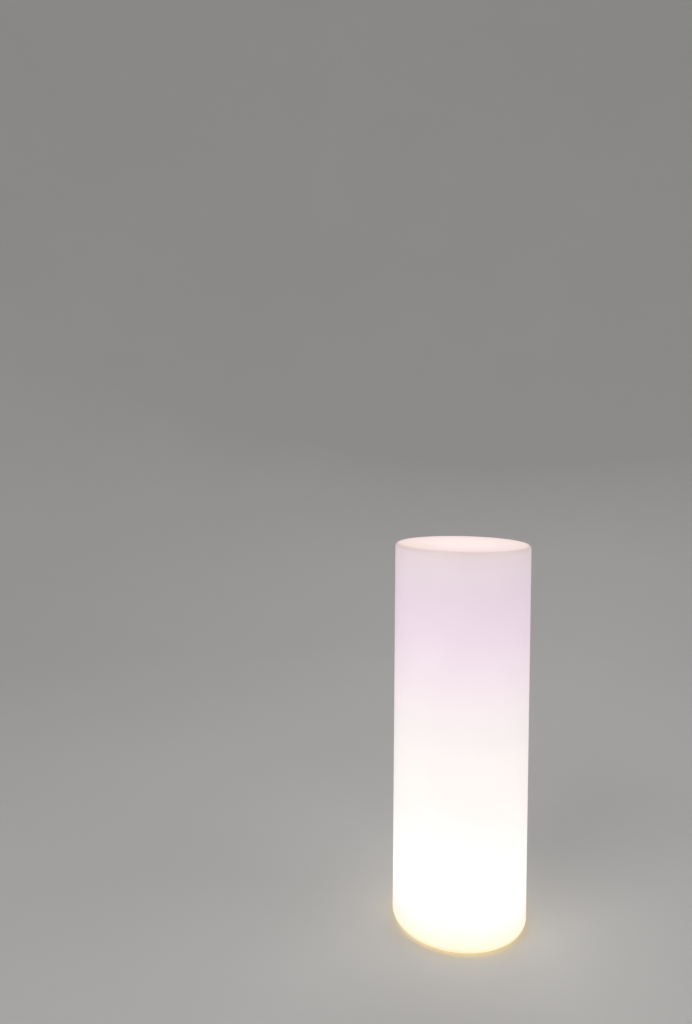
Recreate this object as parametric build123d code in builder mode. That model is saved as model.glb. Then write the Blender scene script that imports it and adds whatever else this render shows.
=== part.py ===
from build123d import *

import os
from math import cos, radians, sin

os.makedirs("parts", exist_ok=True)

# An illuminated column lamp: a hollow polyethylene column with a battery LED unit that twists
# into its base from below. Millimetres, +Z up, origin on the floor under the column's axis.

# ---- Driving dimensions ----

# Column
lamp_diameter = 352
lamp_height = 1000
wall = 4
top_round = 10
bottom_round = 15
shell_radius = lamp_diameter / 2

# Screws: head radius, head height, shank radius
m25_screw = (2.25, 1.6, 1.15)
m3_screw = (2.8, 2.0, 1.4)
m4_screw = (3.75, 2.6, 2.0)
m25_hole = 1.35
m3_hole = 1.7
m4_hole = 2.2
m25_pilot = 1.2
m3_pilot = 1.45
fit_gap = 0.1

# Feet: they hold the shell off the floor
foot_count = 6
foot_height = 4
foot_radius = 11
foot_chamfer = 0.8
foot_stem_radius = 3.9
foot_barb_radius = 5.2
foot_barb_height = 4
foot_barb_taper = 20
foot_circle = 143

# Recess in the base, with the opening for the LED unit in its ceiling
recess_radius = 122
ceiling_z = 30
opening_radius = 98
recess_round = 3

# Brass inserts moulded into bosses over the recess's ceiling
ring_screw_count = 6
ring_screw_circle = 113.5
insert_radius = 3.2
insert_bore = 2.05
insert_length = 9
insert_boss_radius = 6.5
insert_boss_height = 13

# Lock ring under the recess's ceiling
gasket_thickness = 1.5
plate_thickness = 4
plate_inner_radius = 94
plate_outer_radius = 119.5
plate_edge_round = 1
plate_top_z = ceiling_z - gasket_thickness
plate_z = plate_top_z - plate_thickness
skirt_inner_radius = 105.5
skirt_outer_radius = 108
skirt_z = 14
tab_count = 3
tab_thickness = 3
tab_inner_radius = 98
tab_outer_radius = skirt_inner_radius + 1
tab_angle = 34
stop_angle = 4
stop_gap_angle = 0.3
rib_count = 12
rib_thickness = 2
rib_length = 9
rib_height = 6
mark_radius = 1.6
mark_depth = 0.4
mark_spread = 2

# LED unit's base cup and its bayonet lugs
unit_z = skirt_z + tab_thickness
unit_floor = 3
floor_z = unit_z + unit_floor
flange_radius = 97
flange_thickness = 4
flange_top_z = unit_z + flange_thickness
cup_radius = 92
cup_inner_radius = 89
cup_top_z = 62
lug_radius = 104.5
lug_angle = 28
lug_lift = 0.2
first_lug_angle = 90
locked_angle = first_lug_angle + 30
unlock_angle = 40
seal_inset = 0.5

# Grip: two finger pockets either side of a bar
pocket_length = 80
pocket_width = 56
pocket_corner = 6
pocket_roof_z = 31
pocket_wall = 3
grip_bar_width = 12
grip_edge_round = 2
deck_z = pocket_roof_z + pocket_wall

# Control board, over the buttons
board_thickness = 1.6
board_corner = 2
control_z = 31
control_top_z = control_z + board_thickness
control_length = 88
control_width = 35
control_y = 53.5
control_post_x = 40
control_post_y = 14
post_radius = 3
switch_side = 6
switch_height = 3.4
plunger_radius = 1.75
plunger_height = 0.9

# Buttons, between the control board and the floor of the cup
button_x = 20
button_y = 54
button_radius = 7
button_gap = 0.3
button_recess = 0.6
button_edge_round = 0.8
button_flange_radius = 8.5
button_flange_thickness = 1.25
button_stem_radius = 2.5
button_stem_gap = 0.2
button_travel = 1.2
switch_gap = 0.1
icon_radius = 3.2
icon_line = 0.8
icon_bar_length = 7.2
icon_dot_circle = 2.6
icon_dot_radius = 1.1
icon_depth = 0.3
guide_z = 24.5
guide_thickness = 1.5
guide_length = 84
guide_width = 12
guide_screw_x = 38
spring_wire_radius = 0.35
spring_radius = 3.8
spring_pitch = 1.1

# Indicator LED and its light pipe
pipe_radius = 2.5
pipe_collar_radius = 3.5
pipe_stem_radius = 1.5
indicator_height = 1.4
indicator_gap = 0.4

# Parts on the control board: centre, then size
chip_spot = (-4, 58)
chip_side = 10
chip_height = 1.4
chip_lead_count = 8
chip_lead_pitch = 1.2
chip_lead_width = 0.5
chip_lead_reach = 12.4
chip_lift = 0.3
radio_spot = (-27, 55)
choke_spots = [(6, 44), (19, 44), (32, 44)]
choke_side = 10
choke_height = 6
transistor_spots = [(10, 56), (19, 56), (28, 56), (37, 56)]
capacitor_spots = [(-30, 43), (-19, 43), (-8, 43)]
capacitor_radius = 4
capacitor_height = 9
connector_spots = [(-14, 67.5), (4, 67.5), (22, 67.5)]
connector_length = 11
connector_width = 5.8
connector_height = 7
connector_wall = 0.9
connector_depth = 1.5

# Battery: six cells side by side in a cradle on the pockets' roof
cell_count = 6
cell_radius = 9.2
cell_length = 65
cell_pitch = 18.6
cell_chamfer = 0.6
strip_width = 7
strip_thickness = 0.3
cradle_plate = 2
cradle_width = 68
cradle_corner = 3
cradle_wall = 2
cradle_wall_length = 60
cradle_wall_height = 19
cradle_wall_x = cell_count * cell_pitch / 2 + 1.4
cradle_ear_x = 64
cradle_ear_y = 22
cradle_ear_radius = 5
cradle_post_radius = 3.5
battery_clamp_x = 61
battery_clamp_radius = 4
battery_clamp_width = 14
battery_clamp_thickness = 2.4
cell_z = deck_z + cradle_plate + cell_pitch / 2
battery_clamp_z = deck_z + cradle_plate + cradle_wall_height

# Protection board, beside the charging socket
protection_x = -31
protection_y = -57
protection_length = 38
protection_width = 26
protection_post_x = 15
protection_post_y = 9

# Vent
vent_spot = (-62, -36)
vent_radius = 6
vent_head_height = 1.2
vent_stem_radius = 3.9
vent_stem_length = 5
vent_hole_circle = 3
vent_hole_radius = 0.5

# Charging socket: flange, barrel and nut, in a well in the floor
jack_spot = (24, -58)
jack_seat_z = 23
jack_radius = 5.5
jack_flange_radius = 6.7
jack_flange_thickness = 1.5
jack_length = 14
jack_bore = 2.8
jack_pin = 1.0
jack_depth = 9.5
jack_lug_x = 2.5
jack_lug_height = 4
jack_nut_radius = 8
jack_nut_thickness = 2.5
jack_pad_radius = 12
jack_pad_thickness = 4
well_radius = 7

# Charging door: a flap on a pin, with a plug that fills the well
hinge_y = -49.2
hinge_z = 18.8
hinge_pin_radius = 0.8
hinge_pin_fit = 0.02
hinge_pin_gap = 0.06
hinge_pin_overhang = 3
knuckle_radius = 1.7
door_length = 16
door_width = 18.8
door_thickness = 2
door_corner = 3
door_gap = 0.4
plug_radius = 6.5
plug_height = 1.8
plug_chamfer = 0.4
scoop_radius = 5
scoop_depth = 1.6

# LED head on the cup: seal, heat plate, LED board, dome and clamp ring
head_screw_count = 6
head_screw_circle = 84.5
head_boss_radius = 5.5
head_boss_height = 19
head_boss_floor = 4
seal_thickness = 1
heat_plate_thickness = 3
led_board_radius = 72
led_board_screw_circle = 66
cable_hole_radius = 5
dome_radius = 78
dome_wall = 2
dome_flange_radius = 90
dome_top_z = 105
dome_round = 30
clamp_ring_inner_radius = 79
clamp_ring_outer_radius = 91.5
clamp_ring_thickness = 3.5
heat_plate_z = cup_top_z + seal_thickness
led_board_z = heat_plate_z + heat_plate_thickness
led_z = led_board_z + board_thickness
dome_flange_z = led_board_z + seal_thickness
clamp_ring_z = dome_flange_z + dome_wall
head_top_z = clamp_ring_z + clamp_ring_thickness

# LEDs: rings of square packages, each with a round window; each ring's radius and count
led_rings = ((54, 16), (30, 8))
led_size = 5
led_height = 1.6
led_window_radius = 2.1
led_window_depth = 0.3

# Leads: two-core cables, and a thicker one to the LED board
lead_radius = 1.3
lead_bend = 4
lead_z = 39
lead_side_x = -76
cable_radius = 2
cable_bend = 3
cable_z = 60


# ---- Shared shapes ----


def ring(inner_radius, outer_radius):
    """Add a flat ring to the sketch."""
    Circle(outer_radius)
    Circle(inner_radius, mode=Mode.SUBTRACT)


def sector(inner_radius, outer_radius, middle_angle, width_angle):
    """Add a piece of a flat ring to the sketch."""
    start = middle_angle - width_angle / 2
    with BuildLine() as outline:
        outer = CenterArc((0, 0), outer_radius, start, width_angle)
        inner = CenterArc((0, 0), inner_radius, start, width_angle)
        Line(outer @ 0, inner @ 0)
        Line(outer @ 1, inner @ 1)
    make_face(outline.edges())


def round_spots(circle_radius, count, first_angle=0):
    """Evenly spaced points on a circle about the column's axis."""
    angles = [radians(first_angle + 360 / count * step) for step in range(count)]
    return [(circle_radius * cos(angle), circle_radius * sin(angle)) for angle in angles]


def screws(spots, seat_z, size, length, from_below=False):
    """Pan-head screws with a cross recess, their heads seated at seat_z."""
    head_radius, head_height, shank_radius = size
    up = -1 if from_below else 1
    slot_width = head_radius * 0.3
    with BuildPart() as made:
        with BuildSketch(Plane.XY.offset(seat_z)):
            with Locations(*spots):
                Circle(head_radius)
        extrude(amount=up * head_height)
        heads = made.faces().filter_by(Plane.XY).group_by(Axis.Z)[-1 if up > 0 else 0]
        fillet(heads.edges(), head_height * 0.35)
        with BuildSketch(Plane.XY.offset(seat_z + up * head_height)):
            with Locations(*spots):
                SlotOverall(head_radius, slot_width)
                SlotOverall(head_radius, slot_width, rotation=90)
        extrude(amount=-up * head_height * 0.5, mode=Mode.SUBTRACT)
        with BuildSketch(Plane.XY.offset(seat_z)):
            with Locations(*spots):
                Circle(shank_radius)
        extrude(amount=-up * length)
    return made


def lead(radius, bend, points):
    """A round lead along straight runs joined by arcs."""
    with BuildPart() as made:
        with BuildLine() as path:
            FilletPolyline(*points, radius=bend)
        with BuildSketch(Plane(origin=path.line @ 0, z_dir=path.line % 0)):
            Circle(radius)
        sweep()
    return made


# ---- Where things repeat ----

insert_spots = round_spots(ring_screw_circle, ring_screw_count, 30)
foot_spots = round_spots(foot_circle, foot_count)
head_spots = round_spots(head_screw_circle, head_screw_count)
led_screw_spots = round_spots(led_board_screw_circle, head_screw_count, 30)
lug_angles = [first_lug_angle + 360 / tab_count * step for step in range(tab_count)]
button_spots = [(-button_x, button_y), (button_x, button_y)]
indicator_spot = (0, button_y)
guide_spots = [(-guide_screw_x, button_y), (guide_screw_x, button_y)]
control_spots = [
    (x, control_y + y)
    for x in (-control_post_x, control_post_x)
    for y in (-control_post_y, control_post_y)
]
cradle_spots = [(x, y) for x in (-cradle_ear_x, cradle_ear_x) for y in (-cradle_ear_y, cradle_ear_y)]
battery_clamp_spots = [(-battery_clamp_x, 0), (battery_clamp_x, 0)]
protection_spots = [
    (protection_x - protection_post_x, protection_y - protection_post_y),
    (protection_x + protection_post_x, protection_y + protection_post_y),
]

# ---- Diffuser shell ----

with BuildPart() as shell:
    with BuildSketch(Plane.XZ):
        with BuildLine():
            FilletPolyline(
                (0, lamp_height),
                (shell_radius, lamp_height),
                (shell_radius, foot_height),
                (recess_radius, foot_height),
                (recess_radius, ceiling_z),
                (opening_radius, ceiling_z),
                (opening_radius, ceiling_z + wall),
                (recess_radius + wall, ceiling_z + wall),
                (recess_radius + wall, foot_height + wall),
                (shell_radius - wall, foot_height + wall),
                (shell_radius - wall, lamp_height - wall),
                (0, lamp_height - wall),
                radius=[
                    top_round,
                    bottom_round,
                    recess_round,
                    recess_round / 2,
                    0,
                    0,
                    recess_round,
                    recess_round,
                    bottom_round - wall,
                    top_round - wall,
                ],
            )
            Line((0, lamp_height - wall), (0, lamp_height))
        make_face()
    revolve(axis=Axis.Z)
    with BuildSketch(Plane.XY.offset(ceiling_z + wall)):
        with Locations(*insert_spots):
            Circle(insert_boss_radius)
    extrude(amount=insert_boss_height - wall)
    with BuildSketch(Plane.XY.offset(ceiling_z)):
        with Locations(*insert_spots):
            Circle(insert_radius)
    extrude(amount=insert_length + 1, mode=Mode.SUBTRACT)
    with BuildSketch(Plane.XY.offset(foot_height)):
        with Locations(*foot_spots):
            Circle(foot_stem_radius + fit_gap)
    extrude(amount=wall, mode=Mode.SUBTRACT)
shell.part.label = "diffuser_shell"
export_step(shell.part, "parts/diffuser_shell.step")

# ---- Feet: a disc under the shell, a stem through its floor and a barb above ----

for number, spot in enumerate(foot_spots, 1):
    foot_plane = Plane(origin=(*spot, 0))
    with BuildPart() as foot:
        with BuildSketch(foot_plane):
            Circle(foot_radius)
        extrude(amount=foot_height)
        chamfer(foot.faces().sort_by(Axis.Z)[0].edges(), foot_chamfer)
        with BuildSketch(foot_plane.offset(foot_height)):
            Circle(foot_stem_radius)
        extrude(amount=wall)
        with BuildSketch(foot_plane.offset(foot_height + wall)):
            Circle(foot_barb_radius)
        extrude(amount=foot_barb_height, taper=foot_barb_taper)
    foot.part.label = f"foot_{number}"
    export_step(foot.part, f"parts/foot_{number}.step")

# ---- Lock ring and what holds it ----

with BuildPart() as inserts:
    with BuildSketch(Plane.XY.offset(ceiling_z)):
        with Locations(*insert_spots):
            ring(insert_bore, insert_radius)
    extrude(amount=insert_length)
inserts.part.label = "threaded_inserts"
export_step(inserts.part, "parts/threaded_inserts.step")

with BuildPart() as ring_gasket:
    with BuildSketch(Plane.XY.offset(plate_top_z)):
        ring(opening_radius + 1, plate_outer_radius - 1)
        with Locations(*insert_spots):
            Circle(m4_hole + 2 * fit_gap, mode=Mode.SUBTRACT)
    extrude(amount=gasket_thickness)
ring_gasket.part.label = "ring_gasket"
export_step(ring_gasket.part, "parts/ring_gasket.step")

# plate, skirt, three tabs that carry the unit's lugs, and a stop at each end of a lug's turn
stop_offset = lug_angle / 2 + stop_gap_angle + stop_angle / 2
mark_circle = (skirt_outer_radius + plate_outer_radius) / 2
with BuildPart() as lock_ring:
    with BuildSketch(Plane.XY.offset(plate_z)):
        ring(plate_inner_radius, plate_outer_radius)
        with Locations(*insert_spots):
            Circle(m4_hole, mode=Mode.SUBTRACT)
    extrude(amount=plate_thickness)
    fillet(lock_ring.faces().sort_by(Axis.Z)[0].outer_wire().edges(), plate_edge_round)
    with BuildSketch(Plane.XY.offset(skirt_z)):
        ring(skirt_inner_radius, skirt_outer_radius)
    extrude(amount=plate_z - skirt_z)
    with BuildSketch(Plane.XY.offset(skirt_z)):
        for angle in lug_angles:
            sector(tab_inner_radius, tab_outer_radius, angle, tab_angle)
    extrude(amount=tab_thickness)
    with BuildSketch(Plane.XY.offset(unit_z)):
        for angle in lug_angles:
            sector(tab_inner_radius, tab_outer_radius, angle + stop_offset, stop_angle)
            sector(tab_inner_radius, tab_outer_radius, angle - unlock_angle - stop_offset, stop_angle)
    extrude(amount=plate_z - unit_z)
    # ribs that brace the skirt, between the screws
    with BuildSketch(Plane.XY.offset(plate_z)):
        with PolarLocations(skirt_outer_radius + rib_length / 2 - 1, rib_count, start_angle=15):
            Rectangle(rib_length, rib_thickness)
    extrude(amount=-rib_height)
    # sunk dots: one where the unit's mark stands when locked, two where it drops out
    with BuildSketch(Plane.XY.offset(plate_z)):
        with Locations(*round_spots(mark_circle, 1, locked_angle)):
            Circle(mark_radius)
        with Locations(*round_spots(mark_circle, 1, locked_angle - unlock_angle - mark_spread)):
            Circle(mark_radius)
        with Locations(*round_spots(mark_circle, 1, locked_angle - unlock_angle + mark_spread)):
            Circle(mark_radius)
    extrude(amount=mark_depth, mode=Mode.SUBTRACT)
lock_ring.part.label = "lock_ring"
export_step(lock_ring.part, "parts/lock_ring.step")

ring_screws = screws(insert_spots, plate_z, m4_screw, 13, from_below=True)
ring_screws.part.label = "ring_screws"
export_step(ring_screws.part, "parts/ring_screws.step")

# ---- LED unit's base cup ----

# posts for the guide plate, the boards and the cradle: spots, radius, top, pilot radius, depth
posts = (
    (guide_spots, post_radius, guide_z, m25_pilot, 3.5),
    (control_spots, post_radius, control_z, m25_pilot, 8),
    (cradle_spots, cradle_post_radius, deck_z, m3_pilot, 8),
    (protection_spots, post_radius, control_z, m25_pilot, 8),
)
door_recess_near_y = hinge_y + knuckle_radius + 0.7
door_recess_far_y = hinge_y - door_length - door_gap
door_recess_length = door_recess_near_y - door_recess_far_y
door_recess_width = door_width + 2 * door_gap
door_recess_middle = (jack_spot[0], (door_recess_near_y + door_recess_far_y) / 2)
hinge_plane = Plane(
    origin=(jack_spot[0] - door_recess_width / 2, hinge_y, hinge_z), z_dir=(1, 0, 0),
)
with BuildPart() as unit_base:
    with BuildSketch(Plane.XZ):
        with BuildLine():
            Polyline(
                (0, unit_z),
                (flange_radius, unit_z),
                (flange_radius, flange_top_z),
                (cup_radius, flange_top_z),
                (cup_radius, cup_top_z),
                (cup_inner_radius, cup_top_z),
                (cup_inner_radius, floor_z),
                (0, floor_z),
                close=True,
            )
        make_face()
    revolve(axis=Axis.Z)
    # bayonet lugs
    with BuildSketch(Plane.XY.offset(unit_z + lug_lift)):
        for angle in lug_angles:
            sector(flange_radius - 2, lug_radius, angle, lug_angle)
    extrude(amount=flange_thickness - lug_lift)
    # finger pockets with the grip bar between them
    with BuildSketch(Plane.XY.offset(floor_z)):
        RectangleRounded(
            pocket_length + 2 * pocket_wall, pocket_width + 2 * pocket_wall, pocket_corner + pocket_wall,
        )
    extrude(amount=deck_z - floor_z)
    with BuildSketch(Plane.XY.offset(unit_z)):
        RectangleRounded(pocket_length, pocket_width, pocket_corner)
        Rectangle(pocket_length, grip_bar_width, mode=Mode.SUBTRACT)
    extrude(amount=pocket_roof_z - unit_z, mode=Mode.SUBTRACT)
    pocket_mouths = unit_base.faces().filter_by(Plane.XY).sort_by(Axis.Z)[0].inner_wires()
    fillet(pocket_mouths.edges(), grip_edge_round)
    # posts and their screw holes
    for spots, radius, top_z, pilot_radius, pilot_depth in posts:
        with BuildSketch(Plane.XY.offset(floor_z)):
            with Locations(*spots):
                Circle(radius)
        extrude(amount=top_z - floor_z)
        with BuildSketch(Plane.XY.offset(top_z)):
            with Locations(*spots):
                Circle(pilot_radius)
        extrude(amount=-pilot_depth, mode=Mode.SUBTRACT)
    # bosses for the head's screws, against the cup's wall
    with BuildSketch(Plane.XY.offset(cup_top_z)):
        with Locations(*head_spots):
            Circle(head_boss_radius)
    extrude(amount=-head_boss_height)
    with BuildSketch(Plane.XY.offset(cup_top_z)):
        with Locations(*head_spots):
            Circle(m3_pilot)
    extrude(amount=head_boss_floor - head_boss_height, mode=Mode.SUBTRACT)
    # buttons, light pipe and vent go through the floor
    with BuildSketch(Plane.XY.offset(unit_z)):
        with Locations(*button_spots):
            Circle(button_radius + button_gap)
        with Locations(indicator_spot):
            Circle(pipe_radius + fit_gap)
        with Locations(vent_spot):
            Circle(vent_stem_radius + fit_gap)
    extrude(amount=unit_floor, mode=Mode.SUBTRACT)
    # thicker floor round the charging socket and its door
    with BuildSketch(Plane.XY.offset(floor_z)):
        with Locations(door_recess_middle):
            Rectangle(door_recess_width + 2 * hinge_pin_overhang + 1, door_recess_length + 5)
    extrude(amount=jack_seat_z - floor_z)
    with BuildSketch(Plane.XY.offset(floor_z)):
        with Locations(jack_spot):
            Circle(jack_pad_radius)
    extrude(amount=jack_seat_z + jack_pad_thickness - floor_z)
    # the socket's well and its hole
    with BuildSketch(Plane.XY.offset(unit_z)):
        with Locations(jack_spot):
            Circle(well_radius)
    extrude(amount=jack_seat_z - unit_z, mode=Mode.SUBTRACT)
    with BuildSketch(Plane.XY.offset(jack_seat_z)):
        with Locations(jack_spot):
            Circle(jack_radius + fit_gap)
    extrude(amount=jack_pad_thickness, mode=Mode.SUBTRACT)
    # the door's recess, the groove for its knuckle and a scoop for a fingernail
    with BuildSketch(Plane.XY.offset(unit_z)):
        with Locations(door_recess_middle):
            Rectangle(door_recess_width, door_recess_length)
    extrude(amount=door_thickness + 2 * fit_gap, mode=Mode.SUBTRACT)
    with BuildSketch(hinge_plane):
        Circle(knuckle_radius + door_gap)
    extrude(amount=door_recess_width, mode=Mode.SUBTRACT)
    with BuildSketch(Plane.XY.offset(unit_z)):
        with Locations((jack_spot[0], door_recess_far_y)):
            Circle(scoop_radius)
    extrude(amount=scoop_depth, mode=Mode.SUBTRACT)
    # the hinge pin's hole
    with BuildSketch(hinge_plane.offset(-hinge_pin_overhang)):
        Circle(hinge_pin_radius + hinge_pin_fit)
    extrude(amount=door_recess_width + 2 * hinge_pin_overhang + 1, mode=Mode.SUBTRACT)
    # a sunk arrowhead that points at the lock ring's dots
    with BuildSketch(Plane.XY.offset(unit_z)):
        with Locations(*round_spots(flange_radius - 6, 1, locked_angle)):
            RegularPolygon(3 * mark_radius, 3, rotation=locked_angle)
    extrude(amount=mark_depth, mode=Mode.SUBTRACT)
unit_base.part.label = "unit_base"
export_step(unit_base.part, "parts/unit_base.step")

# ---- Seal on the unit's flange, pressed against the lock ring ----

with BuildPart() as unit_seal:
    with BuildSketch(Plane.XY.offset(flange_top_z)):
        ring(cup_radius + 2 * seal_inset, flange_radius - seal_inset)
    extrude(amount=plate_z - flange_top_z - fit_gap)
unit_seal.part.label = "unit_seal"
export_step(unit_seal.part, "parts/unit_seal.step")

# ---- Vent that lets the sealed unit breathe ----

with BuildPart() as vent_plug:
    with BuildSketch(Plane.XY.offset(unit_z)):
        with Locations(vent_spot):
            Circle(vent_radius)
    extrude(amount=-vent_head_height)
    chamfer(vent_plug.faces().sort_by(Axis.Z)[0].edges(), vent_head_height / 3)
    with BuildSketch(Plane.XY.offset(unit_z)):
        with Locations(vent_spot):
            Circle(vent_stem_radius)
    extrude(amount=vent_stem_length)
    with BuildSketch(Plane.XY.offset(unit_z - vent_head_height)):
        with Locations(vent_spot):
            with PolarLocations(vent_hole_circle, 6):
                Circle(vent_hole_radius)
    extrude(amount=1, mode=Mode.SUBTRACT)
vent_plug.part.label = "vent_plug"
export_step(vent_plug.part, "parts/vent_plug.step")

# ---- Light pipe from the indicator LED to the underside ----

pipe_top_z = control_z - indicator_height - indicator_gap
with BuildPart() as indicator_pipe:
    with BuildSketch(Plane.XY.offset(unit_z)):
        with Locations(indicator_spot):
            Circle(pipe_radius)
    extrude(amount=unit_floor)
    with BuildSketch(Plane.XY.offset(floor_z)):
        with Locations(indicator_spot):
            Circle(pipe_collar_radius)
    extrude(amount=1)
    with BuildSketch(Plane.XY.offset(floor_z + 1)):
        with Locations(indicator_spot):
            Circle(pipe_stem_radius)
    extrude(amount=pipe_top_z - floor_z - 1)
indicator_pipe.part.label = "indicator_pipe"
export_step(indicator_pipe.part, "parts/indicator_pipe.step")

with BuildPart() as indicator_led:
    with BuildSketch(Plane.XY.offset(control_z)):
        with Locations(indicator_spot):
            RectangleRounded(3.2, 2.8, 0.3)
    extrude(amount=-indicator_height)
indicator_led.part.label = "indicator_led"
export_step(indicator_led.part, "parts/indicator_led.step")

# ---- Buttons and their springs ----

button_z = unit_z + button_recess
button_flange_z = floor_z + fit_gap / 2
spring_z = button_flange_z + button_flange_thickness
stem_top_z = control_z - switch_height - plunger_height - switch_gap - button_travel
for name, spot in zip(("power_button", "mode_button"), button_spots):
    with BuildPart() as button:
        with BuildSketch(Plane.XY.offset(button_z)):
            with Locations(spot):
                Circle(button_radius)
        extrude(amount=button_flange_z - button_z)
        fillet(button.faces().sort_by(Axis.Z)[0].edges(), button_edge_round)
        with BuildSketch(Plane.XY.offset(button_flange_z)):
            with Locations(spot):
                Circle(button_flange_radius)
        extrude(amount=button_flange_thickness)
        with BuildSketch(Plane.XY.offset(spring_z)):
            with Locations(spot):
                Circle(button_stem_radius)
        extrude(amount=stem_top_z - spring_z)
        # a sunk ring and bar on one, three dots on the other
        with BuildSketch(Plane.XY.offset(button_z)):
            with Locations(spot):
                if name == "power_button":
                    ring(icon_radius - icon_line, icon_radius)
                    Rectangle(icon_line, icon_bar_length)
                else:
                    with PolarLocations(icon_dot_circle, 3, start_angle=90):
                        Circle(icon_dot_radius)
        extrude(amount=icon_depth, mode=Mode.SUBTRACT)
    button.part.label = name
    export_step(button.part, f"parts/{name}.step")

    coil_z = spring_z + spring_wire_radius
    coil_height = guide_z - spring_wire_radius - coil_z
    with BuildPart() as spring:
        with BuildLine() as coil:
            Helix(spring_pitch, coil_height, spring_radius, center=(*spot, coil_z))
        with BuildSketch(Plane(origin=coil.line @ 0, z_dir=coil.line % 0)):
            Circle(spring_wire_radius)
        sweep(is_frenet=True)
    spring.part.label = f"{name}_spring"
    export_step(spring.part, f"parts/{name}_spring.step")

with BuildPart() as button_guide:
    with BuildSketch(Plane.XY.offset(guide_z)):
        with Locations((0, button_y)):
            RectangleRounded(guide_length, guide_width, 3)
        with Locations(*button_spots):
            Circle(button_stem_radius + button_stem_gap, mode=Mode.SUBTRACT)
        with Locations(indicator_spot):
            Circle(pipe_stem_radius + 0.5, mode=Mode.SUBTRACT)
        with Locations(*guide_spots):
            Circle(m25_hole, mode=Mode.SUBTRACT)
    extrude(amount=guide_thickness)
button_guide.part.label = "button_guide"
export_step(button_guide.part, "parts/button_guide.step")

guide_screws = screws(guide_spots, guide_z + guide_thickness, m25_screw, 4.5)
guide_screws.part.label = "guide_screws"
export_step(guide_screws.part, "parts/guide_screws.step")

# ---- Control board and what is soldered to it ----

with BuildPart() as control_board:
    with BuildSketch(Plane.XY.offset(control_z)):
        with Locations((0, control_y)):
            RectangleRounded(control_length, control_width, board_corner)
        with Locations(*control_spots):
            Circle(m25_hole, mode=Mode.SUBTRACT)
    extrude(amount=board_thickness)
control_board.part.label = "control_board"
export_step(control_board.part, "parts/control_board.step")

control_screws = screws(control_spots, control_top_z, m25_screw, 8)
control_screws.part.label = "control_board_screws"
export_step(control_screws.part, "parts/control_board_screws.step")

with BuildPart() as button_switches:
    with BuildSketch(Plane.XY.offset(control_z)):
        with Locations(*button_spots):
            RectangleRounded(switch_side, switch_side, 0.5)
    extrude(amount=-switch_height)
    with BuildSketch(Plane.XY.offset(control_z - switch_height)):
        with Locations(*button_spots):
            Circle(plunger_radius)
    extrude(amount=-plunger_height)
button_switches.part.label = "button_switches"
export_step(button_switches.part, "parts/button_switches.step")

with BuildPart() as controller_chip:
    with BuildSketch(Plane.XY.offset(control_top_z + chip_lift)):
        with Locations(chip_spot):
            Rectangle(chip_side, chip_side)
    extrude(amount=chip_height)
    with BuildSketch(Plane.XY.offset(control_top_z)):
        with Locations(chip_spot):
            with GridLocations(0, chip_lead_pitch, 1, chip_lead_count):
                Rectangle(chip_lead_reach, chip_lead_width)
            with GridLocations(chip_lead_pitch, 0, chip_lead_count, 1):
                Rectangle(chip_lead_width, chip_lead_reach)
    extrude(amount=0.4)
controller_chip.part.label = "controller_chip"
export_step(controller_chip.part, "parts/controller_chip.step")

# a small board with a shield can, and its aerial's end of the board left bare
with BuildPart() as radio_module:
    with BuildSketch(Plane.XY.offset(control_top_z)):
        with Locations(radio_spot):
            Rectangle(18, 16)
    extrude(amount=0.8)
    with BuildSketch(Plane.XY.offset(control_top_z + 0.8)):
        with Locations((radio_spot[0], radio_spot[1] - 2)):
            RectangleRounded(15, 11, 1)
    extrude(amount=2)
radio_module.part.label = "radio_module"
export_step(radio_module.part, "parts/radio_module.step")

with BuildPart() as board_chokes:
    with BuildSketch(Plane.XY.offset(control_top_z)):
        with Locations(*choke_spots):
            RectangleRounded(choke_side, choke_side, 2)
    extrude(amount=choke_height)
    with BuildSketch(Plane.XY.offset(control_top_z + choke_height)):
        with Locations(*choke_spots):
            Circle(choke_side * 0.4)
    extrude(amount=-0.5, mode=Mode.SUBTRACT)
board_chokes.part.label = "board_chokes"
export_step(board_chokes.part, "parts/board_chokes.step")

# each with a body and a metal tab behind it
with BuildPart() as power_transistors:
    with BuildSketch(Plane.XY.offset(control_top_z)):
        with Locations(*transistor_spots):
            Rectangle(6.6, 6.2)
    extrude(amount=2.3)
    with BuildSketch(Plane.XY.offset(control_top_z)):
        with Locations(*[(x, y + 3.8) for x, y in transistor_spots]):
            Rectangle(5.2, 1.6)
    extrude(amount=0.6)
power_transistors.part.label = "power_transistors"
export_step(power_transistors.part, "parts/power_transistors.step")

with BuildPart() as capacitors:
    with BuildSketch(Plane.XY.offset(control_top_z)):
        with Locations(*capacitor_spots):
            Circle(capacitor_radius)
    extrude(amount=capacitor_height)
    chamfer(capacitors.faces().filter_by(Plane.XY).group_by(Axis.Z)[-1].edges(), 0.4)
capacitors.part.label = "capacitors"
export_step(capacitors.part, "parts/capacitors.step")

with BuildPart() as board_connectors:
    with BuildSketch(Plane.XY.offset(control_top_z)):
        with Locations(*connector_spots):
            Rectangle(connector_length, connector_width)
    extrude(amount=connector_height)
    with BuildSketch(Plane.XY.offset(control_top_z + connector_height)):
        with Locations(*connector_spots):
            Rectangle(connector_length - 2 * connector_wall, connector_width - 2 * connector_wall)
    extrude(amount=-connector_depth, mode=Mode.SUBTRACT)
board_connectors.part.label = "board_connectors"
export_step(board_connectors.part, "parts/board_connectors.step")

# ---- Battery ----

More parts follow.
